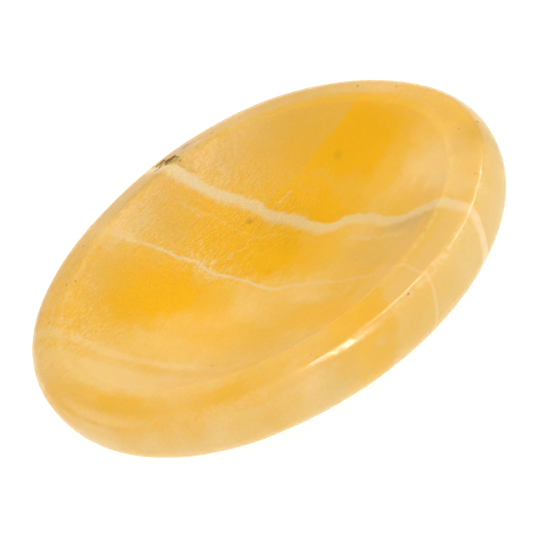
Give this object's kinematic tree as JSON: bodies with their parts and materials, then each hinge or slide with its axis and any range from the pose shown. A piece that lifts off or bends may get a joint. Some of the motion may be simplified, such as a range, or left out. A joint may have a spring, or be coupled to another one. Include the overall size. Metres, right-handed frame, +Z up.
{
  "type": "yellow calcite worry stone",
  "caption": "Oval thumb stone of polished yellow calcite with a shallow dish in its top, a soft rim, rounded sides and a small flat to rest on.",
  "frame": {"origin": "under the middle of the stone, on the surface that its small flat rests on", "axes": "+X along the oval, +Y across it, +Z up out of the thumb dish"},
  "size_m": [0.045, 0.0335, 0.0084],
  "materials": {
    "yellow_calcite": "soft polish, cloudy yellow with cream veins"
  },
  "bodies": {
    "root": {"worry_stone": "yellow_calcite"}
  },
  "joints": []
}
